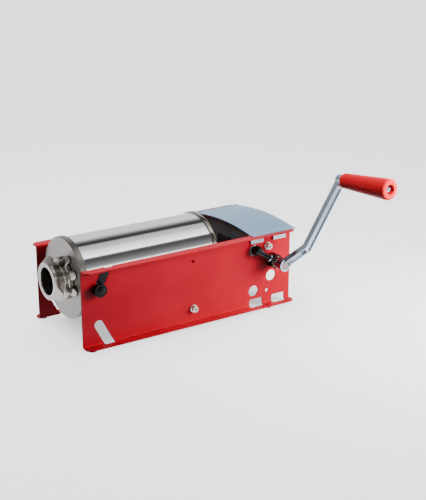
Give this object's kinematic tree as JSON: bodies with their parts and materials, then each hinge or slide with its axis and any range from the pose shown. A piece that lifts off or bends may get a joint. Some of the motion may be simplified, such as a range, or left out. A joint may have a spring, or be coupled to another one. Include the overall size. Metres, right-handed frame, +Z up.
{
  "type": "sausage stuffer",
  "caption": "Horizontal hand-cranked sausage stuffer with a steel barrel and lid between red side panels, driven by a rack and pinion.",
  "frame": {"origin": "centre of the outlet mouth's front face", "axes": "+X along the barrel's axis towards the crank end, +Z up, the crank on the -Y side"},
  "size_m": [0.4947, 0.3547, 0.2448],
  "materials": {
    "red_enamel": "gloss",
    "polished_steel": "polished",
    "satin_steel": "satin",
    "zinc_plate": "satin",
    "dark_steel": "satin",
    "cast_zinc": "polished",
    "cover_sheet": "satin",
    "black_plastic": "gloss",
    "red_plastic": "gloss",
    "white_plastic": "matte",
    "rubber": "matte",
    "bronze": "satin",
    "brass": "satin"
  },
  "bodies": {
    "frame": {"near_panel": "red_enamel", "far_panel": "red_enamel", "feet": "rubber", "bulkhead": "red_enamel", "rack_guide": "white_plastic", "tie_tube": "polished_steel", "tie_bolt": "zinc_plate", "axle_bolt": "zinc_plate", "washers": "zinc_plate", "nuts": "zinc_plate", "axle_sleeves": "dark_steel", "shaft_bushes": "bronze", "cover": "cover_sheet", "cover_clips": "cover_sheet", "barrel": "polished_steel", "rear_ring": "polished_steel", "trunnions": "polished_steel", "lid": "satin_steel", "lid_seal": "white_plastic", "outlet_hub": "polished_steel"},
    "ring_nut": {"ring_nut": "polished_steel"},
    "knob_near": {"knob_near": "black_plastic", "insert_near": "brass"},
    "knob_far": {"knob_far": "black_plastic", "insert_far": "brass"},
    "piston": {"piston": "white_plastic", "piston_seal": "rubber", "piston_plate": "satin_steel", "piston_screw": "satin_steel", "rack": "dark_steel", "rack_stop": "zinc_plate"},
    "roller": {"guide_roller": "satin_steel"},
    "crank": {"crank_shaft": "polished_steel", "pinion": "dark_steel", "pinion_pin": "dark_steel", "shaft_sleeves": "dark_steel", "shaft_clip": "dark_steel", "crank_arm": "cast_zinc", "crank_screw": "dark_steel", "grip_pin": "polished_steel"},
    "grip": {"grip": "red_plastic"},
    "lever": {"lever_collar": "zinc_plate", "lever_ring": "polished_steel", "lever_grip": "black_plastic"}
  },
  "joints": [
    {"name": "piston_slide", "type": "slide", "parent": "frame", "child": "piston", "axis": [1, 0, 0], "range_m": [0, 0.242]},
    {"name": "crank_turn", "type": "hinge", "parent": "frame", "child": "crank", "pos_m": [0.381, 0, -0.0152], "axis": [0, 1, 0], "range_deg": [0, 1321]},
    {"name": "roller_turn", "type": "hinge", "parent": "frame", "child": "roller", "pos_m": [0.373, 0, 0.0103], "axis": [0, 1, 0], "range_deg": [-2202, 0]},
    {"name": "grip_turn", "type": "hinge", "parent": "crank", "child": "grip", "pos_m": [0.47214, -0.143, 0.12354], "axis": [0.0478, -0.9962, 0.0728], "continuous": true},
    {"name": "ring_nut_turn", "type": "hinge", "parent": "frame", "child": "ring_nut", "pos_m": [0.016, 0, 0], "axis": [-1, 0, 0], "range_deg": [0, 540]},
    {"name": "knob_near_turn", "type": "hinge", "parent": "frame", "child": "knob_near", "pos_m": [0.0494, -0.082, 0], "axis": [0, -1, 0], "range_deg": [0, 1080]},
    {"name": "knob_far_turn", "type": "hinge", "parent": "frame", "child": "knob_far", "pos_m": [0.0494, 0.082, 0], "axis": [0, 1, 0], "range_deg": [0, 1080]},
    {"name": "lever_turn", "type": "hinge", "parent": "frame", "child": "lever", "pos_m": [0.381, -0.086, -0.0152], "axis": [0, -1, 0], "range_deg": [0, 60]}
  ],
  "couplings": [
    {"joint": "crank_turn", "follows": "piston_slide", "rad_per_m": 95.238},
    {"joint": "roller_turn", "follows": "piston_slide", "rad_per_m": -158.73}
  ]
}
